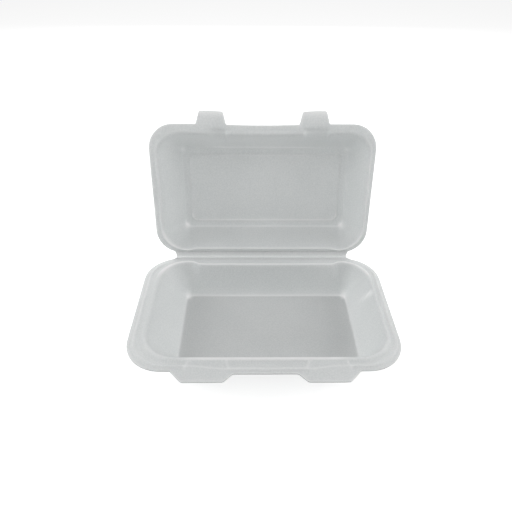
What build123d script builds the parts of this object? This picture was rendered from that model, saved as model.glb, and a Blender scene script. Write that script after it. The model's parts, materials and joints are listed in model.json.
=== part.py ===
from build123d import *
import os
from dataclasses import dataclass
from math import hypot, radians, tan

# Foam clamshell container, moulded from one sheet of foam: a tray, a lid and the thin web between them.
# Millimetres.  +Z is up and +X runs along the hinge.  The origin is on the tray's underside, below the
# middle of its rim.

# Rim of the tray
TRAY_WIDTH = 235.0
TRAY_DEPTH = 148.5
TRAY_CORNER = 32.5
TRAY_HEIGHT = 38.5
TRAY_SIDE_RIM = 14.8
TRAY_FRONT_RIM = 16.0
TRAY_HINGE_RIM = 7.2

# Rim of the lid, which is smaller all round than the tray's
LID_INSET = 8.2
LID_HEIGHT = 34.5
LID_SIDE_RIM = 7.2
LID_FRONT_RIM = 9.4
LID_HINGE_RIM = 3.6

# Sheet, and the distance that each half keeps from the plane on which they close
SHEET = 2.2
SEAT_CLEARANCE = 0.15

# Cavities: corner radii at the mouth and at the floor, and how far each wall leans from upright
MOUTH_CORNER = 26.0
FLOOR_CORNER = 6.0
FLOOR_BLEND = 2.5
UNDERSIDE_BLEND = 2.0
TRAY_SIDE_DRAFT = 27.5
TRAY_FRONT_DRAFT = 26.5
TRAY_HINGE_DRAFT = 20.7
LID_SIDE_DRAFT = 26.8
LID_FRONT_DRAFT = 29.9
LID_HINGE_DRAFT = 23.6

# Step by which the middle of the wall beside the hinge stands into the cavity
STEP_LENGTH = 153.0
STEP_RUN_OUT = 6.0
STEP_DEPTH_SHARE = 0.75
TRAY_STEP = 4.2
LID_STEP = 2.0

# Lip round each mouth, and the bead round the tray's rim
LIP_RISE = 1.0
TRAY_LIP_WIDTH = 4.6
LID_LIP_WIDTH = 3.2
LIP_ROUND = 0.6
BEAD_WIDTH = 4.0
BEAD_MARGIN = 3.7
BEAD_ROUND = 0.8

# Hinge
TRAY_HINGE_GAP = 2.0
LID_HINGE_GAP = 3.9
WEB_LENGTH = 180.8
WEB_THICKNESS = 1.2
WEB_SEAT = 2.0
OPEN_ANGLE = 102.8

# Pull tabs, and the bar between the tray's tabs
TRAY_TAB_CENTRE = 49.5
TRAY_TAB_TIP = 34.6
TRAY_TAB_ROOT = 54.6
TRAY_TAB_REACH = 10.4
TRAY_TAB_CORNER = 4.0
FRONT_BAR_REACH = 2.8
LID_TAB_CENTRE = 47.5
LID_TAB_TIP = 22.4
LID_TAB_ROOT = 32.0
LID_TAB_REACH = 12.2
LID_TAB_CORNER = 2.5
LID_TAB_BEND = 14.0
LID_RAMP_DEPTH = 9.2

# Raised panel in the lid
PANEL_RISE = 1.4
PANEL_BORDER = 7.6
PANEL_CORNER = 6.0

# Worked out from the sizes above
FLANGE_TOP = -SEAT_CLEARANCE - LIP_RISE
FLANGE_UNDER = FLANGE_TOP - SHEET
HINGE_Y = TRAY_HINGE_GAP + TRAY_DEPTH / 2


@dataclass
class Half:
    """One half of the container, with the hinge line along X and Y running away from it.

    Z = 0 is the plane on which the two halves close, and the half hangs below it.
    """

    width: float
    depth: float
    corner: float
    height: float
    gap: float
    side_rim: float
    front_rim: float
    hinge_rim: float
    side_draft: float
    front_draft: float
    hinge_draft: float
    step: float
    lip_width: float

    @property
    def cavity_depth(self):
        return self.height - SHEET

    @property
    def front(self):
        return self.gap + self.depth

    @property
    def mouth_width(self):
        return self.width - 2 * self.side_rim

    @property
    def mouth_back(self):
        return self.gap + self.hinge_rim

    @property
    def mouth_front(self):
        return self.front - self.front_rim

    @property
    def floor_width(self):
        return self.mouth_width - 2 * self.cavity_depth * tan(radians(self.side_draft))

    @property
    def floor_back(self):
        return self.mouth_back + self.cavity_depth * tan(radians(self.hinge_draft))

    @property
    def floor_front(self):
        return self.mouth_front - self.cavity_depth * tan(radians(self.front_draft))


tray_half = Half(
    width=TRAY_WIDTH,
    depth=TRAY_DEPTH,
    corner=TRAY_CORNER,
    height=TRAY_HEIGHT,
    gap=TRAY_HINGE_GAP,
    side_rim=TRAY_SIDE_RIM,
    front_rim=TRAY_FRONT_RIM,
    hinge_rim=TRAY_HINGE_RIM,
    side_draft=TRAY_SIDE_DRAFT,
    front_draft=TRAY_FRONT_DRAFT,
    hinge_draft=TRAY_HINGE_DRAFT,
    step=TRAY_STEP,
    lip_width=TRAY_LIP_WIDTH,
)
lid_half = Half(
    width=TRAY_WIDTH - 2 * LID_INSET,
    depth=TRAY_DEPTH - 2 * LID_INSET,
    corner=TRAY_CORNER - LID_INSET,
    height=LID_HEIGHT,
    gap=LID_HINGE_GAP,
    side_rim=LID_SIDE_RIM,
    front_rim=LID_FRONT_RIM,
    hinge_rim=LID_HINGE_RIM,
    side_draft=LID_SIDE_DRAFT,
    front_draft=LID_FRONT_DRAFT,
    hinge_draft=LID_HINGE_DRAFT,
    step=LID_STEP,
    lip_width=LID_LIP_WIDTH,
)


def top_edges(solid):
    return solid.edges().group_by(Axis.Z)[-1]


def bottom_edges(solid):
    return solid.edges().group_by(Axis.Z)[0]


def rounded_section(width, back, front, corner, z):
    """A rounded rectangle centred on X, from back to front along Y."""
    return Pos(0, (back + front) / 2, z) * RectangleRounded(width, front - back, corner)


def mouth_section(half, grow, z):
    """The outline of the cavity's mouth, made larger all round by grow."""
    return rounded_section(
        half.mouth_width + 2 * grow, half.mouth_back - grow, half.mouth_front + grow,
        MOUTH_CORNER + grow, z,
    )


def floor_section(half, grow, corner, z):
    """The outline of the cavity's floor, made larger all round by grow."""
    return rounded_section(
        half.floor_width + 2 * grow, half.floor_back - grow, half.floor_front + grow, corner, z
    )


def rim_plate(half, inset, low, high):
    """A plate with the rim's outline, drawn in by inset."""
    section = rounded_section(
        half.width - 2 * inset, half.gap + inset, half.front - inset, half.corner - inset, low
    )
    return extrude(section, high - low)


def hinge_step(half, shift):
    """The block by which the middle of the hinge wall stands into the cavity, moved back by shift."""
    fade = STEP_DEPTH_SHARE * half.cavity_depth
    lean = tan(radians(half.hinge_draft)) - half.step / fade
    inner = STEP_LENGTH / 2
    outer = inner + STEP_RUN_OUT
    back = half.mouth_back - shift - SHEET
    sections = []
    for z in (-half.cavity_depth, SHEET):
        front = half.mouth_back - shift + half.step - z * lean
        outline = Polyline((-outer, back), (-inner, front), (inner, front), (outer, back), close=True)
        sections.append(Pos(0, 0, z) * make_face(outline))
    return loft(sections)


def cavity(half):
    """The hollow, from the floor up to the closing plane."""
    space = loft([floor_section(half, 0, FLOOR_CORNER, -half.cavity_depth), mouth_section(half, 0, 0)])
    space = fillet(bottom_edges(space), FLOOR_BLEND)
    return space - hinge_step(half, 0)


def lip(half):
    """The raised band round the mouth, solid across it until the cavity is cut."""
    band = extrude(mouth_section(half, half.lip_width, FLANGE_UNDER), LIP_RISE + SHEET)
    band -= hinge_step(half, half.lip_width)
    return fillet(top_edges(band), LIP_ROUND)


def hinge_web(half):
    """This half's share of the thin web, which ends just short of the hinge line."""
    reach = half.gap + WEB_SEAT - SEAT_CLEARANCE
    place = Pos(0, SEAT_CLEARANCE + reach / 2, -SEAT_CLEARANCE - WEB_THICKNESS / 2)
    return place * Box(WEB_LENGTH, reach, WEB_THICKNESS)


def shell(half):
    """Walls, floor, flange, lip and web, before the cavity is cut."""
    foot = floor_section(half, SHEET, FLOOR_CORNER + SHEET, -half.height)
    body = loft([foot, mouth_section(half, SHEET, FLANGE_TOP)])
    body = fillet(bottom_edges(body), UNDERSIDE_BLEND)
    body -= hinge_step(half, SHEET)
    body += rim_plate(half, 0, FLANGE_UNDER, FLANGE_TOP)
    body += lip(half)
    return body + hinge_web(half)


def tab_face(root_width, tip_width, reach, corner):
    """A tab with sloping sides and rounded tip corners, with the middle of its root at the origin."""
    outline = Polyline(
        (-root_width / 2, 0), (-tip_width / 2, reach), (tip_width / 2, reach), (root_width / 2, 0),
        close=True,
    )
    face = make_face(outline)
    return fillet(face.vertices().group_by(Axis.Y)[-1], corner)


def bead_ring(inset, width, low, high):
    """A band of the bead's plan, open along the hinge and moved out between the tabs."""
    ring = rim_plate(tray_half, inset, low, high) - rim_plate(tray_half, inset + width, low, high)
    margin = 2 * (BEAD_MARGIN + BEAD_WIDTH)
    middle = (low + high) / 2
    hinge_side = Pos(0, tray_half.gap, middle) * Box(WEB_LENGTH, 2 * margin, 2 * (high - low))
    between = 2 * TRAY_TAB_CENTRE
    front_side = Pos(0, tray_half.front, middle) * Box(between, 2 * margin, 2 * (high - low))
    bar_place = Pos(0, tray_half.front + FRONT_BAR_REACH - inset - width / 2, middle)
    return ring - hinge_side - front_side, bar_place * Box(between, width, high - low)


def tray_bead():
    ring, bar = bead_ring(BEAD_MARGIN, BEAD_WIDTH, FLANGE_TOP, -SEAT_CLEARANCE)
    long_edges = top_edges(bar).filter_by(Axis.X)
    return fillet(top_edges(ring), BEAD_ROUND) + fillet(long_edges, BEAD_ROUND)


def bead_groove():
    """The hollow under the bead, where the sheet follows it."""
    width = BEAD_WIDTH - 2 * BEAD_ROUND
    ring, bar = bead_ring(BEAD_MARGIN + BEAD_ROUND, width, FLANGE_UNDER, FLANGE_UNDER + LIP_RISE)
    return ring + bar


def front_bar():
    """The flange's wider stretch between the tabs."""
    overlap = tray_half.front_rim / 2
    place = Pos(0, tray_half.front + (FRONT_BAR_REACH - overlap) / 2, FLANGE_UNDER + SHEET / 2)
    return place * Box(2 * TRAY_TAB_CENTRE, FRONT_BAR_REACH + overlap, SHEET)


def tray_tab(side):
    """A tab whose smooth top runs from the lip to its tip, level with the lip."""
    rear = tray_half.front_rim - tray_half.lip_width / 2
    face = tab_face(TRAY_TAB_ROOT, TRAY_TAB_TIP, TRAY_TAB_REACH, TRAY_TAB_CORNER)
    face += Pos(0, -rear / 2) * Rectangle(TRAY_TAB_ROOT, rear)
    root = Pos(side * TRAY_TAB_CENTRE, tray_half.front, -SEAT_CLEARANCE - SHEET)
    return root * extrude(face, SHEET)


def tray_tab_hollow(side):
    """The hollow under a tab, where the flange's sheet rises into it."""
    wall = FLANGE_UNDER + LIP_RISE
    length = tray_half.front_rim - tray_half.lip_width
    place = Pos(side * TRAY_TAB_CENTRE, tray_half.front - length / 2 + SHEET, (FLANGE_UNDER + wall) / 2)
    return place * Box(TRAY_TAB_TIP, length, LIP_RISE)


def tray():
    body = shell(tray_half) + front_bar() + tray_bead()
    body -= bead_groove()
    for side in (-1, 1):
        body += tray_tab(side)
        body -= tray_tab_hollow(side)
    return body - cavity(tray_half)


def lid_tab(side):
    """A tab bent back a little from the rim along its root."""
    flat = tab_face(LID_TAB_ROOT, LID_TAB_TIP, LID_TAB_REACH, LID_TAB_CORNER)
    flat += Pos(0, -SHEET / 2) * Rectangle(LID_TAB_ROOT, SHEET)
    root = Pos(side * LID_TAB_CENTRE, lid_half.front, FLANGE_TOP)
    return root * Rot(X=-LID_TAB_BEND) * extrude(Pos(0, 0, -SHEET) * flat, SHEET)


def ramp_block(side, *points):
    """A block as wide as a lid tab's tip, with the given outline across the rim."""
    plane = Plane.YZ.offset(side * LID_TAB_CENTRE - LID_TAB_TIP / 2)
    return extrude(plane * make_face(Polyline(*points, close=True)), LID_TAB_TIP)


def add_ramp(body, side):
    """Turn the lip and the top of the wall at a tab into one slope, a sheet thick."""
    foot_y = lid_half.mouth_front - LID_RAMP_DEPTH * tan(radians(lid_half.front_draft))
    head_y = lid_half.mouth_front + lid_half.lip_width
    run = head_y - foot_y
    rise = FLANGE_TOP + LID_RAMP_DEPTH
    out_y = SHEET * rise / hypot(run, rise)
    out_z = -SHEET * run / hypot(run, rise)
    head = (head_y, FLANGE_TOP)
    foot = (foot_y, -LID_RAMP_DEPTH)
    body += ramp_block(side, head, foot, (foot_y + out_y, foot[1] + out_z), (head_y + out_y, head[1] + out_z))
    return body - ramp_block(side, head, foot, (foot_y, 0), (head_y, 0))


def panel_block(low):
    """The lid's raised panel, as a block with sloping sides that stands on the plane z = low."""
    base = floor_section(lid_half, PANEL_RISE - PANEL_BORDER, PANEL_CORNER + PANEL_RISE, low)
    top = floor_section(lid_half, -PANEL_BORDER, PANEL_CORNER, low + PANEL_RISE)
    return loft([base, top])


def lid():
    body = shell(lid_half)
    for side in (-1, 1):
        body += lid_tab(side)
    body -= cavity(lid_half)
    for side in (-1, 1):
        body = add_ramp(body, side)
    body += panel_block(-lid_half.cavity_depth)
    return body - panel_block(-lid_half.height)


tray_place = Pos(0, HINGE_Y, TRAY_HEIGHT) * Rot(Z=180)
lid_place = Pos(0, HINGE_Y, TRAY_HEIGHT) * Rot(X=180 - OPEN_ANGLE)

os.makedirs("parts", exist_ok=True)
export_step(tray_place * tray(), "parts/tray.step")
export_step(lid_place * lid(), "parts/lid.step")
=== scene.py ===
import json
from dataclasses import dataclass
from math import exp, hypot, pi, radians, sqrt, tan

import bmesh
import bpy
from bpy.props import FloatProperty, FloatVectorProperty, IntProperty, PointerProperty
from mathutils import Matrix, Vector


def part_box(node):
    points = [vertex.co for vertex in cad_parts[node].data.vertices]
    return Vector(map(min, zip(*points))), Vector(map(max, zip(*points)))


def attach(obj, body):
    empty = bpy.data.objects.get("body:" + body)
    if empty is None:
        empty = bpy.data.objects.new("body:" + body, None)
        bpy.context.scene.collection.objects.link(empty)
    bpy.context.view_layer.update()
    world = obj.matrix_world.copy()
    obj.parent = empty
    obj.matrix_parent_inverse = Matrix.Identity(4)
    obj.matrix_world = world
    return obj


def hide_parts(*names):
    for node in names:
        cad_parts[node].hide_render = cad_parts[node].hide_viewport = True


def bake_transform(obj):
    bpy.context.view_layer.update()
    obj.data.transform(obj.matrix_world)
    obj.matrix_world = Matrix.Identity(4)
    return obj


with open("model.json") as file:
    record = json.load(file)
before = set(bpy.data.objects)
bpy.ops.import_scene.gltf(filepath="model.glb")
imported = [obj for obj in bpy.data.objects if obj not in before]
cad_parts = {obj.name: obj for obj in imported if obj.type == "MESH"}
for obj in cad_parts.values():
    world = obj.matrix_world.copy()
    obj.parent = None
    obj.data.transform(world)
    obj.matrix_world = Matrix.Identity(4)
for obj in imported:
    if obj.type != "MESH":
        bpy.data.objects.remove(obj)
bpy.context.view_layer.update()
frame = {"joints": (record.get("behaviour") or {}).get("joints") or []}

# Foam clamshell container: a tray and a lid moulded in one with the thin web between them.
# Metres.  +Z is up, +X runs along the hinge, and the tray stands on the plane z = 0.
# Each half is shaped as it lies flat: "across" is the distance along the hinge, "along" the distance
# from the hinge line, and "level" the height above the plane on which the two halves close.

bl_info = {
    "name": "Foam Clamshell Container",
    "version": (1, 0, 0),
    "blender": (4, 5, 0),
    "location": "3D View > Sidebar > Container",
    "description": "Models a hinged foam food container and its studio",
    "category": "Add Mesh",
}

HINGE = frame["joints"][0]
HINGE_LINE = Vector(HINGE["pos_m"])
FOLD = pi - radians(HINGE["range_deg"][1])
TRAY_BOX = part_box("tray")
LID_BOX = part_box("lid")
MM = 0.001
HAIR = 1e-6                             # places closer than this count as one
STACK_GAP = 0.1                         # between two rings while they are bridged
WALL_SHEET = 2.45 * MM                  # the sheet, measured level through a sloping wall
WEB_REACH = 90.4 * MM                   # from the middle of the web to its end
SHELF_SHIFTS = (2.6 * MM, 1.4 * MM)     # how far each tray tab's smooth top lies to the right of the tab
SHELF_REACH = 16.0 * MM                 # from the middle of a smooth top to its pale ends
BEAD_RISE = 0.75 * MM                   # of the underside below the bead
RAMP_SHIFTS = (5.5 * MM, 3.0 * MM)      # how far each slope of the lid lies to the right of its tab
RAMP_REACHES = (8.5 * MM, 11.0 * MM)    # from the middle of each slope to its ends
WAVE_SIZE = 0.035                       # of one swell of the uneven sheet
SMOOTH_ANGLE = radians(50)              # creases sharper than this stay sharp
MOTTLE_SCALE = 800                      # fine mottling, in patches per metre
BROAD_SCALE = 22                        # broad unevenness, in patches per metre
FLOOR_LIFT = 0.62                       # glow of the floor as it is seen, so that it reads as white


# ---------------------------------------------------------------- sizes

class ContainerSizes(bpy.types.PropertyGroup):
    """Sizes of the moulding that the two halves share."""

    sheet: FloatProperty(
        name="Sheet", description="Thickness of the foam", default=2.2 * MM, unit="LENGTH", precision=5)
    rise: FloatProperty(
        name="Rise", description="Height of the lip and the bead over the rim", default=0.85 * MM,
        unit="LENGTH", precision=5)
    rim_level: FloatProperty(
        name="Rim level", description="Depth of the flat rim below the closing plane", default=1.15 * MM,
        unit="LENGTH", precision=5)
    tab_bend: FloatProperty(
        name="Tab bend", description="How far the lid's tabs are bent back", default=radians(14.0),
        unit="ROTATION")
    bow: FloatProperty(
        name="Bow", description="Sag of the lid's front rim between its tabs", default=1.3 * MM,
        unit="LENGTH", precision=5)
    waviness: FloatProperty(
        name="Waviness", description="Unevenness of the moulded sheet", default=0.16 * MM,
        unit="LENGTH", precision=5)
    corner_steps: IntProperty(
        name="Corner steps", description="Facets round each corner before smoothing", default=12, min=4)


class FoamFinish(bpy.types.PropertyGroup):
    """Colour and skin of the foam, and the colours of its painted highlight and painted shade."""

    base: FloatVectorProperty(
        name="Foam", description="Colour of the foam", subtype="COLOR", size=3, min=0, max=1,
        default=(0.755, 0.77, 0.768))
    dense: FloatVectorProperty(
        name="Cell walls", description="Colour where the cells are packed", subtype="COLOR", size=3,
        min=0, max=1, default=(0.68, 0.70, 0.70))
    # Painted highlight: this pale colour is laid along crests and creases in place of their sheen and glow.
    painted_light: FloatVectorProperty(
        name="Crests", description="Colour along pressed creases and crests", subtype="COLOR", size=3,
        min=0, max=1, default=(0.96, 0.965, 0.965))
    # Painted shade: this dark colour is laid along the outer edge in place of the shade under it.
    painted_edge_shade: FloatVectorProperty(
        name="Trimmed edge", description="Colour of the open cells along the trimmed edge",
        subtype="COLOR", size=3, min=0, max=1, default=(0.40, 0.41, 0.41))
    roughness: FloatProperty(
        name="Roughness", description="Roughness of the skin", default=0.42, min=0, max=1, subtype="FACTOR")
    glow: FloatProperty(
        name="Glow", description="Share of light that passes into the foam", default=0.9, min=0, max=1,
        subtype="FACTOR")
    glow_depth: FloatProperty(
        name="Glow depth", description="How far light travels in the foam", default=5.0 * MM,
        unit="LENGTH", precision=5)
    cell: FloatProperty(
        name="Cell", description="Size of one foam cell", default=0.9 * MM, unit="LENGTH", precision=5)


class StudioLook(bpy.types.PropertyGroup):
    """Camera and lamps of the studio."""

    camera_place: FloatVectorProperty(
        name="Camera", description="Place of the camera", subtype="XYZ", unit="LENGTH", size=3,
        default=(-10.95 * MM, -300.51 * MM, 331.49 * MM))
    pitch: FloatProperty(
        name="Pitch", description="How far the camera looks down", default=radians(37.856), unit="ROTATION")
    yaw: FloatProperty(
        name="Yaw", description="How far the camera looks to the right", default=radians(0.747),
        unit="ROTATION")
    roll: FloatProperty(
        name="Roll", description="Turn of the camera about its view", default=radians(0.469),
        unit="ROTATION")
    lens: FloatProperty(
        name="Lens", description="Focal length in millimetres on a 36 mm sensor", default=31.64)
    key: FloatProperty(
        name="Key light", description="Power of the soft light above", default=1.6, unit="POWER")
    fill: FloatProperty(
        name="Side lights", description="Power of each light at the side", default=6.5, unit="POWER")
    back: FloatProperty(
        name="Back light", description="Power of the light behind the lid", default=6.5, unit="POWER")
    sky: FloatProperty(
        name="Room light", description="Strength of the even light of the room", default=0.34)


# ---------------------------------------------------------------- outlines and halves

def blend_value(first, second, share):
    return first + (second - first) * share


def fade(value, start, end):
    """From 0 at start to 1 at end, with soft ends."""
    share = min(1.0, max(0.0, (value - start) / (end - start)))
    return share * share * (3 - 2 * share)


def soft_min(first, second, softness):
    return (first + second - sqrt((first - second) ** 2 + softness ** 2)) / 2


def bell(distance, width):
    return exp(-((distance / width) ** 2))


@dataclass
class Outline:
    """A rounded rectangle seen from above, with its two ends given along the half."""

    middle: float
    reach: float
    back: float
    front: float
    corner: float

    def towards(self, other, share):
        """The outline that lies between this one and another."""
        return Outline(
            blend_value(self.middle, other.middle, share),
            blend_value(self.reach, other.reach, share),
            blend_value(self.back, other.back, share),
            blend_value(self.front, other.front, share),
            blend_value(self.corner, other.corner, share),
        )

    def grown(self, by, corner=None):
        """The outline made larger all round."""
        rounded = max(self.corner + by, MM) if corner is None else corner
        return Outline(self.middle, self.reach + by, self.back - by, self.front + by, rounded)

    def gap(self, across, along):
        """How far a point lies outside the outline."""
        side = abs(across - self.middle) - self.reach + self.corner
        half_length = (self.front - self.back) / 2
        end = abs(along - self.back - half_length) - half_length + self.corner
        return hypot(max(side, 0.0), max(end, 0.0)) + min(max(side, end), 0.0) - self.corner


@dataclass(frozen=True)
class PaintedLight:
    """How much painted highlight (above 0) or painted shade (below 0) a ring carries along the hinge side,
    along both sides and along the front.
    """

    hinge: float = 0.0
    sides: float = 0.0
    front: float = 0.0

    def share(self, amount):
        return PaintedLight(self.hinge * amount, self.sides * amount, self.front * amount)

    def at(self, outline, across, along):
        """How much painted highlight or painted shade the ring carries at a point, with soft changes round
        its corners.
        """
        turn = outline.corner + 4 * MM
        hinge = 1 - fade(along, outline.back + 0.4 * turn, outline.back + turn)
        front = fade(along, outline.front - turn, outline.front - 0.4 * turn)
        sides = 1 - hinge - front
        offset = abs(across - outline.middle) / outline.reach
        if self.front > 0:
            front *= 1 - 0.8 * fade(offset, 0.5, 0.72)
        return self.hinge * hinge + self.front * front + self.sides * sides


PLAIN = PaintedLight()


@dataclass
class Ring:
    """One loop of the shell, at its level, and the painted highlight or painted shade along it."""

    outline: Outline
    level: float
    painted_light: PaintedLight = PLAIN


@dataclass
class Half:
    """What differs between the tray and the lid."""

    name: str
    way: int
    rim: Outline
    mouth: Outline
    floor: Outline
    height: float
    step: float
    step_middle: float
    step_reach: float
    tab_middle: float
    tab_spread: float
    tab_root: float
    tab_tip: float
    tab_reach: float
    tab_softness: float
    bar_reach: float

    @property
    def depth(self):
        return self.height - bpy.context.scene.container_sizes.sheet

    def place(self, across, along, level):
        return Vector((across, HINGE_LINE.y + self.way * along, HINGE_LINE.z + level))

    def wall(self, share):
        """The outline of the cavity at a share of its depth."""
        return self.mouth.towards(self.floor, share)

    def wall_ring(self, share, grow=0.0, painted_light=PLAIN, drop=0.0):
        return Ring(self.wall(share).grown(grow), -self.depth * share - drop, painted_light)

    def rim_ring(self, share, level, painted_light=PLAIN):
        return Ring(self.rim.towards(self.mouth, share), level, painted_light)

    def tab_centres(self):
        return self.tab_middle - self.tab_spread, self.tab_middle + self.tab_spread


@dataclass
class Spot:
    """Where a point of the plain shell lies, before its details are pushed out."""

    across: float
    along: float
    level: float
    share: float
    under: bool


def spots_of(half, piece):
    """The plain place of every vertex, with its share of the way from the edge to the mouth."""
    found = []
    for vertex in piece.data.vertices:
        across = vertex.co.x
        along = half.way * (vertex.co.y - HINGE_LINE.y)
        level = vertex.co.z - HINGE_LINE.z
        from_edge = -half.rim.gap(across, along)
        from_mouth = half.mouth.gap(across, along)
        share = from_edge / max(from_edge + from_mouth, HAIR) if from_mouth > 0 else 1.0
        wall_gap = half.wall(min(1.0, -level / half.depth)).gap(across, along)
        outside = wall_gap > 1.2 * MM and level < -1.45 * MM
        under = outside or level < -half.depth - 0.5 * MM
        found.append(Spot(across, along, level, share, under))
    return found


# ---------------------------------------------------------------- modelling steps

def start_mesh(name):
    """An empty mesh object in edit mode."""
    bpy.ops.object.select_all(action="DESELECT")
    bpy.ops.mesh.primitive_plane_add(size=1, location=(0, 0, 0))
    piece = bpy.context.object
    piece.name = name
    piece.data.name = name
    bpy.ops.object.mode_set(mode="EDIT")
    bpy.ops.mesh.select_all(action="SELECT")
    bpy.ops.mesh.delete(type="VERT")
    return piece


def pick(piece, test, kind="VERT"):
    """In edit mode, select the vertices or faces that pass the test."""
    bpy.ops.mesh.select_mode(type=kind)
    bpy.ops.mesh.select_all(action="DESELECT")
    form = bmesh.from_edit_mesh(piece.data)
    if kind == "FACE":
        for face in form.faces:
            face.select_set(test(face.calc_center_median(), face.normal))
    else:
        for vertex in form.verts:
            vertex.select = test(vertex.co)
        form.select_flush_mode()
    bmesh.update_edit_mesh(piece.data)


def add_ring(half, ring, level, steps):
    """Add a plane at the ring's size, round its corners and keep only its edge."""
    outline = ring.outline
    middle = half.place(outline.middle, (outline.back + outline.front) / 2, level)
    length = outline.front - outline.back
    bpy.ops.mesh.select_all(action="DESELECT")
    bpy.ops.mesh.primitive_plane_add(size=1, location=middle)
    bpy.ops.transform.resize(value=(2 * outline.reach, length, 1), center_override=middle)
    bpy.ops.mesh.bevel(
        affect="VERTICES", offset_type="OFFSET", offset=outline.corner, segments=steps, profile=0.5)
    bpy.ops.mesh.delete(type="ONLY_FACE")


def on_ring(half, ring, point):
    along = half.way * (point.y - HINGE_LINE.y)
    level = point.z - HINGE_LINE.z
    return abs(level - ring.level) < HAIR and abs(ring.outline.gap(point.x, along)) < HAIR


def bridge_rings(half, piece, rings, steps):
    """Stack the rings well apart, join each to the next, close both ends, then set their levels."""
    levels = [(index + 1) * STACK_GAP for index in range(len(rings))]
    heights = [HINGE_LINE.z + level for level in levels]
    for ring, level in zip(rings, levels):
        add_ring(half, ring, level, steps)
    for lower, upper in zip(heights, heights[1:]):
        pick(piece, lambda point: lower - STACK_GAP / 2 < point.z < upper + STACK_GAP / 2)
        bpy.ops.mesh.bridge_edge_loops()
    for height in (heights[0], heights[-1]):
        pick(piece, lambda point: abs(point.z - height) < STACK_GAP / 2)
        bpy.ops.mesh.edge_face_add()
    for ring, level, height in zip(rings, levels, heights):
        pick(piece, lambda point: abs(point.z - height) < STACK_GAP / 2)
        bpy.ops.transform.translate(value=(0, 0, ring.level - level))


def cut(point, normal):
    """Cut the whole mesh along a plane."""
    bpy.ops.mesh.select_all(action="SELECT")
    bpy.ops.mesh.bisect(plane_co=point, plane_no=normal)


def steps_between(first, last, longest):
    """Evenly spaced values from first to last, no further apart than longest."""
    count = max(1, round((last - first) / longest))
    return [first + (last - first) * index / count for index in range(count + 1)]


def point_outwards():
    bpy.ops.mesh.select_all(action="SELECT")
    bpy.ops.mesh.remove_doubles(threshold=HAIR)
    bpy.ops.mesh.normals_make_consistent(inside=False)


def apply_modifier(piece, kind, **settings):
    """Add a modifier with its settings and apply it."""
    modifier = piece.modifiers.new(kind.title(), kind)
    for name, value in settings.items():
        setattr(modifier, name, value)
    bpy.ops.object.select_all(action="DESELECT")
    piece.select_set(True)
    bpy.context.view_layer.objects.active = piece
    bpy.ops.object.modifier_apply(modifier=modifier.name)


def ease(piece, axis, amounts):
    """Move each vertex along an axis by its own amount, with a weighted displacement."""
    for sign in (1, -1):
        wanted = [max(0.0, sign * amount) for amount in amounts]
        largest = max(wanted)
        if largest < HAIR:
            continue
        group = piece.vertex_groups.new(name="ease")
        for index, value in enumerate(wanted):
            if value > 0:
                group.add([index], value / largest, "REPLACE")
        apply_modifier(
            piece, "DISPLACE", direction=axis, strength=sign * largest, mid_level=0.0,
            vertex_group=group.name)
        piece.vertex_groups.remove(piece.vertex_groups["ease"])


def add_waviness(piece, name, strength):
    """Small unevenness of a moulded sheet, as a shallow cloudy displacement."""
    clouds = bpy.data.textures.new(name, "CLOUDS")
    clouds.noise_scale = WAVE_SIZE
    clouds.noise_depth = 1
    apply_modifier(
        piece, "DISPLACE", texture=clouds, texture_coords="LOCAL", direction="NORMAL",
        strength=strength, mid_level=0.5)


def smooth(piece):
    apply_modifier(piece, "SUBSURF", levels=1, render_levels=1)
    bpy.ops.object.shade_smooth_by_angle(angle=SMOOTH_ANGLE)


def store_painted_light(piece, values):
    # The attribute holds painted highlight above 0 and painted shade below 0.
    attribute = piece.data.attributes.new("painted_light", "FLOAT", "POINT")
    attribute.data.foreach_set("value", values)


def mark_painted_light(half, piece, rings):
    """Keep the painted highlight or painted shade of each point as an attribute of the mesh."""
    painted_rings = [ring for ring in rings if ring.painted_light is not PLAIN]
    values = []
    for vertex in piece.data.vertices:
        point = vertex.co
        along = half.way * (point.y - HINGE_LINE.y)
        ring = next((ring for ring in painted_rings if on_ring(half, ring, point)), None)
        values.append(ring.painted_light.at(ring.outline, point.x, along) if ring else 0.0)
    store_painted_light(piece, values)


def paint_pale_line(piece, start, end, width, strength):
    """Paint a paler colour beside a line through two points, by raising the painted light attribute."""
    line = end - start
    attribute = piece.data.attributes["painted_light"]
    for vertex, entry in zip(piece.data.vertices, attribute.data):
        share = min(1.0, max(0.0, (vertex.co - start).dot(line) / max(line.length_squared, HAIR * HAIR)))
        distance = (vertex.co - start - line * share).length
        entry.value = min(1.0, entry.value + strength * bell(distance, width))


# ---------------------------------------------------------------- the two halves

def tray_half():
    width = TRAY_BOX[1].x - TRAY_BOX[0].x
    return Half(
        name="tray_shell",
        way=-1,
        rim=Outline(0.0, width / 2, 2.0 * MM, 148.3 * MM, 32.5 * MM),
        mouth=Outline(2.3 * MM, 104.3 * MM, 9.2 * MM, 134.5 * MM, 27.0 * MM),
        floor=Outline(5.0 * MM, 83.8 * MM, 22.9 * MM, 116.4 * MM, 6.0 * MM),
        height=HINGE_LINE.z,
        step=4.2 * MM,
        step_middle=4.5 * MM,
        step_reach=67.0 * MM,
        tab_middle=0.5 * MM,
        tab_spread=50.5 * MM,
        tab_root=26.6 * MM,
        tab_tip=16.8 * MM,
        tab_reach=11.0 * MM,
        tab_softness=1.0 * MM,
        bar_reach=2.8 * MM,
    )


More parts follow.
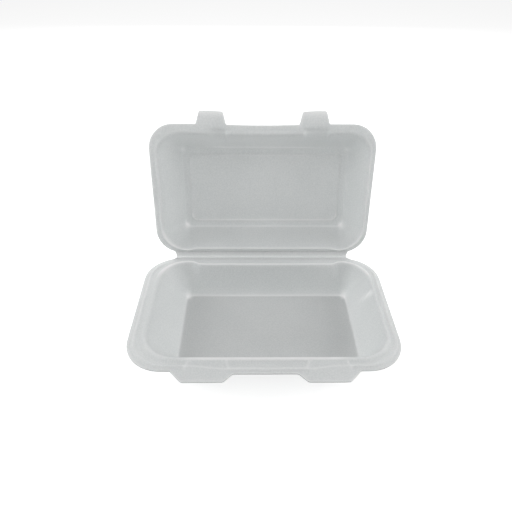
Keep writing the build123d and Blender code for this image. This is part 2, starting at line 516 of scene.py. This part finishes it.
def lid_half():
    width = LID_BOX[1].x - LID_BOX[0].x
    return Half(
        name="lid_shell",
        way=1,
        rim=Outline(0.0, width / 2, 3.9 * MM, 136.0 * MM, 24.3 * MM),
        mouth=Outline(1.5 * MM, 102.2 * MM, 7.5 * MM, 126.6 * MM, 24.0 * MM),
        floor=Outline(3.2 * MM, 85.8 * MM, 21.6 * MM, 108.0 * MM, 6.0 * MM),
        height=34.5 * MM,
        step=2.0 * MM,
        step_middle=1.5 * MM,
        step_reach=69.0 * MM,
        tab_middle=-0.25 * MM,
        tab_spread=48.75 * MM,
        tab_root=14.3 * MM,
        tab_tip=11.4 * MM,
        tab_reach=11.4 * MM,
        tab_softness=1.4 * MM,
        bar_reach=0.0,
    )


def cavity_rings(half, crease):
    """The inside of the wall, from its foot up to the mouth."""
    return [
        half.wall_ring(1.0, -0.9 * MM, crease.share(0.25), -0.15 * MM),
        half.wall_ring(0.985, -0.25 * MM, crease),
        half.wall_ring(0.94, 0.0, crease.share(0.15)),
        *(half.wall_ring(share) for share in (0.72, 0.46, 0.22, 0.07)),
    ]


def outside_rings(half):
    """The outside of the wall, from under the rim down to the foot."""
    foot = half.floor
    return [
        half.wall_ring(0.075, WALL_SHEET + 0.3 * MM, drop=1.0 * MM),
        *(half.wall_ring(share, WALL_SHEET) for share in (0.16, 0.46, 0.75, 0.97)),
        Ring(foot.grown(1.7 * MM, 7.5 * MM), -half.height + 0.55 * MM),
        Ring(foot.grown(0.9 * MM, 6.8 * MM), -half.height + 0.1 * MM),
        Ring(foot.grown(-0.2 * MM, 5.8 * MM), -half.height),
    ]


def tray_rings(half, sizes):
    """Every ring of the tray, from the middle of its floor to the middle of its underside."""
    flat = -sizes.rim_level
    top = flat + sizes.rise
    under = flat - sizes.sheet
    floor_level = -half.depth
    # Painted highlight on the lip and the bead; painted shade on the outer edge.
    lip = PaintedLight(1.0, 0.06, 0.9)
    bead = PaintedLight(0.0, 0.2, 0.3)
    edge_shade = PaintedLight(-0.9, -0.9, -1.0)
    return [
        Ring(half.floor.grown(-6.5 * MM, 3.0 * MM), floor_level),
        Ring(half.floor.grown(-2.2 * MM, 4.5 * MM), floor_level),
        # Painted highlight along the crease at the foot of the wall.
        *cavity_rings(half, PaintedLight(0.75, 0.3, 0.1)),
        Ring(half.mouth.grown(0.15 * MM), top - 0.8 * MM, lip.share(0.3)),
        half.rim_ring(0.96, top - 0.25 * MM, lip.share(0.8)),
        half.rim_ring(0.89, top, lip),
        half.rim_ring(0.80, top - 0.02 * MM, lip.share(0.8)),
        half.rim_ring(0.74, top - 0.3 * MM, lip.share(0.3)),
        half.rim_ring(0.69, flat + 0.1 * MM),
        half.rim_ring(0.62, flat - 0.1 * MM),
        half.rim_ring(0.50, flat - 0.1 * MM),
        half.rim_ring(0.44, flat + 0.2 * MM),
        half.rim_ring(0.39, top - 0.12 * MM, bead.share(0.6)),
        half.rim_ring(0.33, top, bead),
        half.rim_ring(0.27, top - 0.12 * MM, bead.share(0.6)),
        half.rim_ring(0.225, flat + 0.2 * MM),
        half.rim_ring(0.18, flat - 0.08 * MM),
        half.rim_ring(0.07, flat),
        # Painted shade at the hinge side and painted highlight at the front, just inside the edge.
        half.rim_ring(0.02, flat - 0.06 * MM, PaintedLight(-0.5, -0.1, 0.4)),
        half.rim_ring(0.0, flat - 0.35 * MM, edge_shade.share(0.3)),
        half.rim_ring(0.0, under + 0.95 * MM, edge_shade),
        half.rim_ring(0.02, under + 0.55 * MM, edge_shade),
        half.rim_ring(0.08, under + 0.2 * MM, edge_shade.share(0.4)),
        half.rim_ring(0.20, under),
        half.rim_ring(0.27, under + BEAD_RISE),
        half.rim_ring(0.41, under + BEAD_RISE),
        half.rim_ring(0.48, under),
        half.rim_ring(0.56, under),
        *outside_rings(half),
        Ring(half.floor.grown(-6.5 * MM, 3.0 * MM), -half.height),
    ]


def lid_rings(half, sizes):
    """Every ring of the lid, from the middle of its panel to the middle of its outside."""
    flat = -sizes.rim_level
    top = flat + sizes.rise
    under = flat - sizes.sheet
    floor_level = -half.depth
    panel = 1.4 * MM
    # Painted highlight on the panel's edge and the lip; painted shade on the outer edge.
    panel_edge = PaintedLight(0.75, 0.08, 0.2)
    lip = PaintedLight(1.0, 0.25, 0.2)
    edge_shade = PaintedLight(-0.3, -0.6, -0.2)
    return [
        Ring(half.floor.grown(-12.0 * MM, 4.0 * MM), floor_level + panel),
        Ring(half.floor.grown(-8.8 * MM, 5.6 * MM), floor_level + panel, panel_edge.share(0.3)),
        Ring(half.floor.grown(-7.9 * MM, 6.0 * MM), floor_level + panel - 0.08 * MM, panel_edge),
        Ring(half.floor.grown(-7.0 * MM, 6.4 * MM), floor_level + 0.85 * MM, panel_edge.share(0.3)),
        Ring(half.floor.grown(-6.0 * MM, 7.0 * MM), floor_level + 0.15 * MM),
        Ring(half.floor.grown(-5.0 * MM, 6.5 * MM), floor_level),
        Ring(half.floor.grown(-2.2 * MM, 5.0 * MM), floor_level),
        # Painted highlight along the crease at the foot of the wall.
        *cavity_rings(half, PaintedLight(0.5, 0.06, 0.35)),
        Ring(half.mouth.grown(0.1 * MM), top - 0.7 * MM, lip.share(0.3)),
        half.rim_ring(0.94, top - 0.2 * MM, lip.share(0.8)),
        half.rim_ring(0.84, top, lip),
        half.rim_ring(0.72, top - 0.05 * MM, lip.share(0.6)),
        half.rim_ring(0.64, top - 0.35 * MM, lip.share(0.2)),
        half.rim_ring(0.56, flat + 0.05 * MM),
        half.rim_ring(0.46, flat - 0.1 * MM),
        half.rim_ring(0.30, flat),
        half.rim_ring(0.12, flat),
        # Painted highlight just inside the edge along the sides and the front.
        half.rim_ring(0.04, flat - 0.06 * MM, PaintedLight(0.0, 0.3, 0.4)),
        half.rim_ring(0.0, flat - 0.35 * MM, edge_shade.share(0.3)),
        half.rim_ring(0.0, under + 0.95 * MM, edge_shade),
        half.rim_ring(0.04, under + 0.55 * MM, edge_shade),
        half.rim_ring(0.12, under + 0.2 * MM, edge_shade.share(0.4)),
        half.rim_ring(0.24, under),
        *outside_rings(half),
        Ring(half.floor.grown(-5.6 * MM, 7.0 * MM), -half.height),
        Ring(half.floor.grown(-7.9 * MM, 6.0 * MM), -half.height + panel),
        Ring(half.floor.grown(-12.0 * MM, 4.0 * MM), -half.height + panel),
    ]


def tab_cuts(half):
    """The places across which the outline of the tabs needs a cut."""
    slope = half.tab_root - half.tab_tip
    offsets = [half.tab_tip - 3.0 * MM, half.tab_tip - 1.2 * MM, half.tab_tip - 0.3 * MM]
    offsets += [half.tab_tip + slope * share for share in (0.08, 0.25, 0.5, 0.75, 0.92)]
    offsets += [half.tab_root + 0.1 * MM, half.tab_root + 1.2 * MM]
    return [
        centre + side * offset
        for centre in half.tab_centres() for side in (-1, 1) for offset in offsets
    ]


def straight_ends(half):
    """The ends of the stretch over which the sides of the mouth are straight."""
    reach = half.mouth.reach - half.mouth.corner - 0.4 * MM
    return half.mouth.middle - reach, half.mouth.middle + reach


def cut_positions(half):
    """Where the whole shell is cut across, closer together beside the tabs."""
    first, last = straight_ends(half)
    beside = [position for position in tab_cuts(half) if first < position < last]
    plain = steps_between(first, last, 7.5 * MM)
    kept = [
        position for position in plain
        if min(abs(position - near) for near in beside) > 2.0 * MM
    ]
    return sorted(beside + kept)


def on_front_rim(half, point, width):
    along = half.way * (point.y - HINGE_LINE.y)
    return along > half.mouth.front and half.rim.gap(point.x, along) > -width


def cut_front_rim(half, piece):
    """Cut only the outer part of the front rim, beyond the ends of the mouth's straight side."""
    first, last = straight_ends(half)
    width = half.rim.front - half.mouth.front
    for across in tab_cuts(half):
        if first < across < last:
            continue
        pick(piece, lambda centre, normal: on_front_rim(half, centre, 0.6 * width), "FACE")
        bpy.ops.mesh.bisect(plane_co=(across, 0, 0), plane_no=(1, 0, 0))


def rough_shell(half, rings):
    """Rings, bridges and cuts: the plain shell that the details are pushed out of."""
    steps = bpy.context.scene.container_sizes.corner_steps
    piece = start_mesh(half.name)
    bridge_rings(half, piece, rings, steps)
    for across in cut_positions(half):
        cut((across, 0, 0), (1, 0, 0))
    cut_front_rim(half, piece)
    back = half.mouth.back + half.mouth.corner
    front = half.mouth.front - half.mouth.corner
    for along in steps_between(back, front, 6.5 * MM):
        cut(half.place(0, along, 0), (0, 1, 0))
    point_outwards()
    bpy.ops.object.mode_set(mode="OBJECT")
    mark_painted_light(half, piece, rings)
    return piece


def tab_edge(half, across):
    """How far the trimmed front edge stands out at a place along it."""
    edge = 0.0
    slope = half.tab_reach / (half.tab_root - half.tab_tip)
    for centre in half.tab_centres():
        side = (half.tab_root - abs(across - centre)) * slope
        reach = soft_min(half.tab_reach, side, half.tab_softness)
        edge = max(edge, reach)
    return edge


def bar_edge(half, across):
    """The wider stretch of the rim between the tabs."""
    inner = half.tab_spread
    return half.bar_reach * (1 - fade(abs(across - half.tab_middle), inner - 12 * MM, inner + 8 * MM))


def front_reach(half, spot):
    """How far a point of the front rim is drawn out for the tabs and the bar."""
    if spot.along < half.mouth.front - 20 * MM:
        return 0.0
    bar = bar_edge(half, spot.across)
    tab = max(0.0, tab_edge(half, spot.across) - bar)
    return bar * (1 - fade(spot.share, 0.5, 0.7)) + tab * (1 - fade(spot.share, 0.06, 0.2))


def step_share(half, spot):
    """1 in the middle of the hinge side, and 0 past the ends of its step."""
    offset = abs(spot.across - half.step_middle)
    return 1 - fade(offset, half.step_reach, half.step_reach + 11 * MM)


def hinge_step(half, spot):
    """How far the middle of the hinge wall stands into the cavity."""
    if spot.along > half.mouth.back + 22 * MM:
        return 0.0
    depth_share = -spot.level / half.depth
    deep = 1 - fade(depth_share, 0.0, 0.85)
    near = fade(spot.share, 0.45, 0.72) if not spot.under else fade(spot.share, 0.4, 0.6)
    return half.step * step_share(half, spot) * deep * near


def flatten_bead(spot, sizes):
    """Lower the bead to the flat rim along the hinge and round its corners."""
    if spot.share > 0.6:
        return 0.0
    level = -sizes.rim_level - (sizes.sheet if spot.under else 0.0)
    hinge_side = 1 - fade(spot.along, 9 * MM, 24 * MM)
    if abs(spot.level - level) > 0.9 * MM or spot.share < 0.1:
        return 0.0
    return (level - spot.level) * hinge_side


def shelf_level(half, along):
    """The level of a tab's flat top, which falls a little towards its tip."""
    return -0.35 * MM - 0.5 * MM * fade(along, half.mouth.front, half.rim.front + half.tab_reach)


def shelf_rise(half, spot, sizes):
    """Raise the rim across each of the tray's tabs to one smooth shelf."""
    if spot.along < half.mouth.front or spot.share > 0.88:
        return 0.0
    rise = 0.0
    along = spot.along + front_reach(half, spot)
    for centre, shift in zip(half.tab_centres(), SHELF_SHIFTS):
        offset = abs(spot.across - centre - shift)
        share = 1 - fade(offset, 15.2 * MM, 18.2 * MM)
        target = shelf_level(half, along)
        flat = -sizes.rim_level
        if spot.under or spot.share < 0.05:
            amount = target - flat
            if spot.under and 0.26 < spot.share < 0.5:
                amount -= BEAD_RISE
        else:
            amount = target - spot.level
        groove = 0.45 * MM * bell(offset - 17.2 * MM, 1.3 * MM) * fade(spot.share, 0.08, 0.2)
        rise += share * amount - (0.0 if spot.under else groove)
    return rise


def paint_corner_highlights(half, piece):
    """Painted highlights at the corners of the floor."""
    floor = half.floor
    for side in (-1, 1):
        for along, strength in ((floor.back + 2 * MM, 0.8), (floor.front - 2 * MM, 0.3)):
            corner = half.place(floor.middle + side * (floor.reach - 2 * MM), along, -half.depth + 0.5 * MM)
            paint_pale_line(piece, corner, corner + Vector((0, 0, 5 * MM)), 2.6 * MM, strength)


def paint_wall_line(half, piece):
    """A pale line painted up the right wall of the tray."""
    foot = half.place(89 * MM, 46 * MM, -25 * MM)
    head = half.place(105 * MM, 54 * MM, -3 * MM)
    paint_pale_line(piece, foot, head, 2.4 * MM, 1.0)


def paint_shelf_end_highlights(half, piece):
    """Painted highlights that curl round both ends of the smooth top of each tray tab."""
    for centre, shift in zip(half.tab_centres(), SHELF_SHIFTS):
        for side in (-SHELF_REACH, SHELF_REACH):
            across = centre + shift + side
            start = half.place(across, half.mouth.front + 5 * MM, -0.6 * MM)
            end = half.place(across + side * 0.12, half.mouth.front + 11 * MM, -0.8 * MM)
            paint_pale_line(piece, start, end, 1.3 * MM, 0.35)


def make_tray():
    sizes = bpy.context.scene.container_sizes
    half = tray_half()
    rings = tray_rings(half, sizes)
    piece = rough_shell(half, rings)
    spots = spots_of(half, piece)
    ease(piece, "Y", [half.way * front_reach(half, spot) for spot in spots])
    ease(piece, "Y", [half.way * hinge_step(half, spot) for spot in spots])
    ease(piece, "Z", [flatten_bead(spot, sizes) for spot in spots])
    ease(piece, "Z", [shelf_rise(half, spot, sizes) for spot in spots])
    add_waviness(piece, "tray_waviness", sizes.waviness)
    smooth(piece)
    paint_corner_highlights(half, piece)
    paint_wall_line(half, piece)
    paint_shelf_end_highlights(half, piece)
    return piece


def tab_bend(half, spot, angle):
    """Bend the lid's tabs back from the rim along their roots."""
    beyond = spot.along + front_reach(half, spot) - half.rim.front
    return -max(0.0, beyond) * tan(angle)


def front_bow(half, spot, sag):
    """Let the front rim of the lid sag between its tabs."""
    across = (spot.across - half.tab_middle) / half.tab_spread
    share = max(0.0, 1 - across * across)
    near = fade(spot.along, half.mouth.front - 14 * MM, half.mouth.front - 2 * MM)
    return -sag * share * near


def ramp_drop(half, spot):
    """Lower the lip and the top of the wall at a tab to one slope."""
    foot_depth = 9.2 * MM
    lean = (half.mouth.front - half.floor.front) / half.depth
    foot = half.mouth.front - foot_depth * lean
    head = half.mouth.front + 5.0 * MM
    if not foot < spot.along < head:
        return 0.0
    slope = (foot_depth - 1.2 * MM) / (head - foot)
    target = -foot_depth + (spot.along - foot) * slope
    if spot.under:
        target -= 2.9 * MM
    amount = min(0.0, target - spot.level)
    if amount < -6 * MM:
        return 0.0
    drop = 0.0
    for centre, shift, reach in zip(half.tab_centres(), RAMP_SHIFTS, RAMP_REACHES):
        offset = abs(spot.across - centre - shift)
        drop += amount * (1 - fade(offset, reach - 1.4 * MM, reach + 2.6 * MM))
    return drop


def make_lid():
    sizes = bpy.context.scene.container_sizes
    half = lid_half()
    rings = lid_rings(half, sizes)
    piece = rough_shell(half, rings)
    spots = spots_of(half, piece)
    ease(piece, "Y", [half.way * front_reach(half, spot) for spot in spots])
    ease(piece, "Y", [half.way * hinge_step(half, spot) for spot in spots])
    ease(piece, "Y", [half.way * front_bow(half, spot, sizes.bow) for spot in spots])
    ease(piece, "Z", [tab_bend(half, spot, sizes.tab_bend) for spot in spots])
    ease(piece, "Z", [ramp_drop(half, spot) for spot in spots])
    add_waviness(piece, "lid_waviness", sizes.waviness)
    smooth(piece)
    paint_corner_highlights(half, piece)
    turn_up()
    return piece


def turn_up():
    """Turn the flat lid about the hinge line to the angle at which it stands open."""
    bpy.ops.object.mode_set(mode="EDIT")
    bpy.ops.mesh.select_all(action="SELECT")
    bpy.ops.transform.rotate(value=-FOLD, orient_axis="X", center_override=HINGE_LINE)
    bpy.ops.object.mode_set(mode="OBJECT")


def flare(point):
    """Widen the web towards both rims, and further towards the tray's."""
    along = point.y - HINGE_LINE.y
    side = point.x / WEB_REACH
    reach = 3.0 * MM * fade(-along, 0.4 * MM, 3.0 * MM) + 1.2 * MM * fade(along, 1.6 * MM, 4.0 * MM)
    return side * reach * fade(abs(side), 0.9, 1.0)


def web_taper(point, tray_end, lid_end):
    """Let both ends of the web run out into the rims."""
    along = point.y - HINGE_LINE.y
    run = 1.2 * MM
    return -0.25 * MM * (fade(-along, -tray_end - run, -tray_end) + fade(along, lid_end - run, lid_end))


def make_web():
    """The thin web, as a flat strip that is folded up in short stretches about the hinge line."""
    sizes = bpy.context.scene.container_sizes
    top = -sizes.rim_level + 0.03 * MM
    thickness = 1.4 * MM
    tray_end = -4.6 * MM
    lid_end = 5.6 * MM
    middle = HINGE_LINE + Vector((0, (tray_end + lid_end) / 2, top - thickness / 2))
    piece = start_mesh("hinge_web")
    bpy.ops.mesh.primitive_cube_add(size=1, location=middle)
    size = (2 * WEB_REACH, lid_end - tray_end, thickness)
    bpy.ops.transform.resize(value=size, center_override=middle)
    for across in steps_between(-WEB_REACH + 1 * MM, WEB_REACH - 1 * MM, 6 * MM):
        cut((across, 0, 0), (1, 0, 0))
    folds = steps_between(-1.2 * MM, 1.2 * MM, 0.4 * MM)
    for along in [-4.2 * MM, -3.2 * MM, -2.2 * MM, *folds, 2.2 * MM, 3.4 * MM, 4.6 * MM]:
        cut((0, HINGE_LINE.y + along, 0), (0, 1, 0))
    bpy.ops.object.mode_set(mode="OBJECT")
    ease(piece, "X", [flare(vertex.co) for vertex in piece.data.vertices])
    ease(piece, "Z", [web_taper(vertex.co, tray_end, lid_end) for vertex in piece.data.vertices])
    bpy.ops.object.mode_set(mode="EDIT")
    for along in reversed(folds):
        line = HINGE_LINE.y + along - HAIR
        pick(piece, lambda point: point.y > line)
        bpy.ops.transform.rotate(value=-FOLD / len(folds), orient_axis="X", center_override=HINGE_LINE)
    point_outwards()
    bpy.ops.object.mode_set(mode="OBJECT")
    # Painted highlight along the fold line.
    fold_line = HINGE_LINE + Vector((0, 1.0 * MM, -0.8 * MM))
    values = [
        0.25 * bell(hypot(vertex.co.y - fold_line.y, vertex.co.z - fold_line.z), 0.8 * MM)
        for vertex in piece.data.vertices
    ]
    store_painted_light(piece, values)
    smooth(piece)
    return piece


# ---------------------------------------------------------------- foam

def math_node(nodes, operation, second=None, third=None, clamp=False):
    """A maths node, with its second and third values unless they are to be linked."""
    node = nodes.new("ShaderNodeMath")
    node.operation = operation
    node.use_clamp = clamp
    for index, value in ((1, second), (2, third)):
        if value is not None:
            node.inputs[index].default_value = value
    return node


def noise_node(nodes, scale, detail):
    node = nodes.new("ShaderNodeTexNoise")
    node.inputs["Scale"].default_value = scale
    node.inputs["Detail"].default_value = detail
    return node


def colour_mix(nodes):
    node = nodes.new("ShaderNodeMix")
    node.data_type = "RGBA"
    return node


def foam_skin_group():
    """Fine cells, mottling and broad unevenness of a foam skin."""
    group = bpy.data.node_groups.new("foam_skin", "ShaderNodeTree")
    for name, side, kind in (
        ("Place", "INPUT", "Vector"),
        ("Foam", "INPUT", "Color"),
        ("Cell Walls", "INPUT", "Color"),
        ("Cells Per Metre", "INPUT", "Float"),
        ("Roughness", "INPUT", "Float"),
        ("Color", "OUTPUT", "Color"),
        ("Roughness", "OUTPUT", "Float"),
        ("Height", "OUTPUT", "Float"),
    ):
        group.interface.new_socket(name, in_out=side, socket_type=f"NodeSocket{kind}")
    nodes, links = group.nodes, group.links
    given = nodes.new("NodeGroupInput")
    result = nodes.new("NodeGroupOutput")

    cells = nodes.new("ShaderNodeTexVoronoi")
    cells.feature = "F1"
    links.new(given.outputs["Place"], cells.inputs["Vector"])
    links.new(given.outputs["Cells Per Metre"], cells.inputs["Scale"])

    mottle = noise_node(nodes, MOTTLE_SCALE, 3)
    links.new(given.outputs["Place"], mottle.inputs["Vector"])
    broad = noise_node(nodes, BROAD_SCALE, 2)
    links.new(given.outputs["Place"], broad.inputs["Vector"])

    density = math_node(nodes, "MULTIPLY_ADD", 0.35)
    links.new(broad.outputs["Fac"], density.inputs[0])
    links.new(mottle.outputs["Fac"], density.inputs[2])

    spread = nodes.new("ShaderNodeMapRange")
    spread.inputs["From Min"].default_value = 0.5
    spread.inputs["From Max"].default_value = 0.85
    links.new(density.outputs[0], spread.inputs["Value"])

    colour = colour_mix(nodes)
    links.new(spread.outputs["Result"], colour.inputs["Factor"])
    links.new(given.outputs["Foam"], colour.inputs["A"])
    links.new(given.outputs["Cell Walls"], colour.inputs["B"])
    links.new(colour.outputs["Result"], result.inputs["Color"])

    sheen = math_node(nodes, "MULTIPLY_ADD", 0.16)
    links.new(broad.outputs["Fac"], sheen.inputs[0])
    links.new(given.outputs["Roughness"], sheen.inputs[2])
    links.new(sheen.outputs[0], result.inputs["Roughness"])

    relief = math_node(nodes, "MULTIPLY_ADD", 0.7)
    links.new(mottle.outputs["Fac"], relief.inputs[0])
    links.new(cells.outputs["Distance"], relief.inputs[2])
    links.new(relief.outputs[0], result.inputs["Height"])
    return group


def foam_material(name, group):
    """Satin foam with painted highlight where its painted light attribute is above 0, and painted shade
    where it is below.
    """
    finish = bpy.context.scene.foam_finish
    material = bpy.data.materials.new(name)
    material.use_nodes = True
    nodes, links = material.node_tree.nodes, material.node_tree.links
    shader = nodes["Principled BSDF"]
    place = nodes.new("ShaderNodeTexCoord")
    skin = nodes.new("ShaderNodeGroup")
    skin.node_tree = group
    skin.inputs["Foam"].default_value = (*finish.base, 1)
    skin.inputs["Cell Walls"].default_value = (*finish.dense, 1)
    skin.inputs["Cells Per Metre"].default_value = 1 / finish.cell
    skin.inputs["Roughness"].default_value = finish.roughness
    links.new(place.outputs["Object"], skin.inputs["Place"])

    # Painted highlight: mix towards the pale colour by the attribute.
    light_paint = nodes.new("ShaderNodeAttribute")
    light_paint.attribute_name = "painted_light"
    colour = colour_mix(nodes)
    colour.inputs["B"].default_value = (*finish.painted_light, 1)
    links.new(light_paint.outputs["Fac"], colour.inputs["Factor"])
    links.new(skin.outputs["Color"], colour.inputs["A"])

    # Painted shade: mix towards the dark edge colour where the attribute is below 0.
    below = math_node(nodes, "MULTIPLY", -1, clamp=True)
    links.new(light_paint.outputs["Fac"], below.inputs[0])
    painted_edge_shade = colour_mix(nodes)
    painted_edge_shade.inputs["B"].default_value = (*finish.painted_edge_shade, 1)
    links.new(below.outputs[0], painted_edge_shade.inputs["Factor"])
    links.new(colour.outputs["Result"], painted_edge_shade.inputs["A"])
    links.new(painted_edge_shade.outputs["Result"], shader.inputs["Base Color"])
    links.new(skin.outputs["Roughness"], shader.inputs["Roughness"])

    bump = nodes.new("ShaderNodeBump")
    bump.inputs["Strength"].default_value = 0.3
    bump.inputs["Distance"].default_value = 0.12 * MM
    links.new(skin.outputs["Height"], bump.inputs["Height"])
    links.new(bump.outputs["Normal"], shader.inputs["Normal"])
    shader.inputs["Subsurface Weight"].default_value = finish.glow
    shader.inputs["Subsurface Radius"].default_value = (1.0, 1.0, 1.0)
    shader.inputs["Subsurface Scale"].default_value = finish.glow_depth
    return material


def give_foam(piece):
    """Give a piece the shared foam material."""
    material = bpy.data.materials.get("foam_white")
    if material is None:
        material = foam_material("foam_white", foam_skin_group())
    piece.data.materials.clear()
    piece.data.materials.append(material)


# ---------------------------------------------------------------- studio

def view_mask(nodes, links):
    """1 for rays that look straight at the background, by sight, reflection or transmission."""
    path = nodes.new("ShaderNodeLightPath")
    first = math_node(nodes, "ADD")
    links.new(path.outputs["Is Camera Ray"], first.inputs[0])
    links.new(path.outputs["Is Glossy Ray"], first.inputs[1])
    both = math_node(nodes, "ADD", clamp=True)
    links.new(first.outputs[0], both.inputs[0])
    links.new(path.outputs["Is Transmission Ray"], both.inputs[1])
    return both.outputs[0]


def floor_material():
    """Pale floor that reads as white and keeps a light shadow."""
    material = bpy.data.materials.new("studio_floor")
    material.use_nodes = True
    nodes, links = material.node_tree.nodes, material.node_tree.links
    shader = nodes["Principled BSDF"]
    shader.inputs["Base Color"].default_value = (0.82, 0.82, 0.82, 1)
    shader.inputs["Roughness"].default_value = 0.9
    shader.inputs["Specular IOR Level"].default_value = 0.0
    shader.inputs["Emission Color"].default_value = (1, 1, 1, 1)
    strength = math_node(nodes, "MULTIPLY", FLOOR_LIFT)
    links.new(view_mask(nodes, links), strength.inputs[0])
    links.new(strength.outputs[0], shader.inputs["Emission Strength"])
    return material


def make_floor():
    """A wide disc whose rim is drawn down."""
    bpy.ops.object.select_all(action="DESELECT")
    bpy.ops.mesh.primitive_circle_add(
        vertices=96, radius=3.0, fill_type="NGON", location=(0, 0, -0.1 * MM))
    floor = bpy.context.object
    floor.name = "studio_floor"
    floor.data.name = "studio_floor"
    bpy.ops.object.mode_set(mode="EDIT")
    bpy.ops.mesh.select_all(action="SELECT")
    bpy.ops.mesh.inset(thickness=0.2)
    pick(floor, lambda point: hypot(point.x, point.y) > 2.9)
    bpy.ops.transform.translate(value=(0, 0, -0.02))
    bpy.ops.object.mode_set(mode="OBJECT")
    bpy.ops.object.transform_apply(location=True, rotation=True, scale=True)
    floor.data.materials.append(floor_material())
    return floor


def make_room():
    """White for the eye and an even grey light for everything else."""
    look = bpy.context.scene.studio_look
    world = bpy.data.worlds.new("studio_room")
    bpy.context.scene.world = world
    world.use_nodes = True
    nodes, links = world.node_tree.nodes, world.node_tree.links
    background = nodes["Background"]
    background.inputs["Color"].default_value = (1, 1, 1, 1)
    strength = math_node(nodes, "MULTIPLY_ADD", 1 - look.sky, look.sky)
    links.new(view_mask(nodes, links), strength.inputs[0])
    links.new(strength.outputs[0], background.inputs["Strength"])


def add_lamp(name, place, target, size, power):
    """A square area lamp that faces a point."""
    bpy.ops.object.light_add(type="AREA", location=place)
    lamp = bpy.context.object
    lamp.name = name
    lamp.data.name = name
    lamp.data.shape = "SQUARE"
    lamp.data.size = size
    lamp.data.energy = power
    lamp.rotation_euler = (Vector(target) - Vector(place)).to_track_quat("-Z", "Y").to_euler()
    return lamp


def add_camera():
    """The camera, from its place, pitch, yaw and roll."""
    look = bpy.context.scene.studio_look
    bpy.ops.object.camera_add(location=look.camera_place)
    camera = bpy.context.object
    camera.name = "studio_camera"
    camera.data.name = "studio_camera"
    camera.data.lens = look.lens
    camera.data.sensor_width = 36
    camera.data.clip_start = 0.01
    turn = Matrix.Rotation(-look.yaw, 3, "Z") @ Matrix.Rotation(pi / 2 - look.pitch, 3, "X")
    turn = turn @ Matrix.Rotation(look.roll, 3, "Z")
    camera.rotation_euler = turn.to_euler()
    bpy.context.scene.camera = camera
    return camera


# ---------------------------------------------------------------- operators and panel

class CONTAINER_OT_tray(bpy.types.Operator):
    """Model the tray"""

    bl_idname = "container.add_tray"
    bl_label = "Add Tray"

    def execute(self, context):
        piece = make_tray()
        give_foam(piece)
        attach(piece, "tray")
        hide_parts("tray")
        return {"FINISHED"}


class CONTAINER_OT_lid(bpy.types.Operator):
    """Model the lid, standing open"""

    bl_idname = "container.add_lid"
    bl_label = "Add Lid"

    def execute(self, context):
        piece = make_lid()
        give_foam(piece)
        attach(piece, "lid")
        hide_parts("lid")
        return {"FINISHED"}


class CONTAINER_OT_web(bpy.types.Operator):
    """Model the thin web that hinges the lid to the tray"""

    bl_idname = "container.add_web"
    bl_label = "Add Hinge Web"

    def execute(self, context):
        piece = make_web()
        give_foam(piece)
        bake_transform(piece)
        return {"FINISHED"}


class CONTAINER_OT_studio(bpy.types.Operator):
    """Set up the floor, the lamps and the camera"""

    bl_idname = "container.add_studio"
    bl_label = "Add Studio"

    def execute(self, context):
        look = context.scene.studio_look
        floor = make_floor()
        make_room()
        target = (0, 0, 0.04)
        key = add_lamp("studio_key", (-0.15, -0.45, 1.1), target, 0.9, look.key)
        left = add_lamp("studio_left", (-1.2, 0.05, 0.6), target, 0.8, look.fill)
        right = add_lamp("studio_right", (1.2, 0.05, 0.6), target, 0.8, look.fill)
        back = add_lamp("studio_back", (0, 1.2, 0.6), (0, 0, 0.1), 0.8, look.back)
        camera = add_camera()
        context.scene.view_settings.view_transform = "Standard"
        return {"FINISHED"}


class CONTAINER_PT_panel(bpy.types.Panel):
    """Sidebar panel that lists the steps and their sizes"""

    bl_idname = "CONTAINER_PT_panel"
    bl_label = "Container"
    bl_space_type = "VIEW_3D"
    bl_region_type = "UI"
    bl_category = "Container"

    def draw(self, context):
        scene = context.scene
        for group in (scene.container_sizes, scene.foam_finish, scene.studio_look):
            box = self.layout.box()
            for name in group.__annotations__:
                box.prop(group, name)
        for operator in OPERATORS:
            self.layout.operator(operator.bl_idname)


GROUPS = {"container_sizes": ContainerSizes, "foam_finish": FoamFinish, "studio_look": StudioLook}
OPERATORS = (CONTAINER_OT_tray, CONTAINER_OT_lid, CONTAINER_OT_web, CONTAINER_OT_studio)


def register():
    for name, group in GROUPS.items():
        bpy.utils.register_class(group)
        setattr(bpy.types.Scene, name, PointerProperty(type=group))
    for entry in (*OPERATORS, CONTAINER_PT_panel):
        bpy.utils.register_class(entry)


def unregister():
    for entry in (CONTAINER_PT_panel, *reversed(OPERATORS)):
        bpy.utils.unregister_class(entry)
    for name, group in reversed(GROUPS.items()):
        delattr(bpy.types.Scene, name)
        bpy.utils.unregister_class(group)


def main():
    register()
    bpy.ops.container.add_tray()
    bpy.ops.container.add_lid()
    bpy.ops.container.add_web()
    bpy.ops.container.add_studio()


if __name__ == "__main__":
    main()
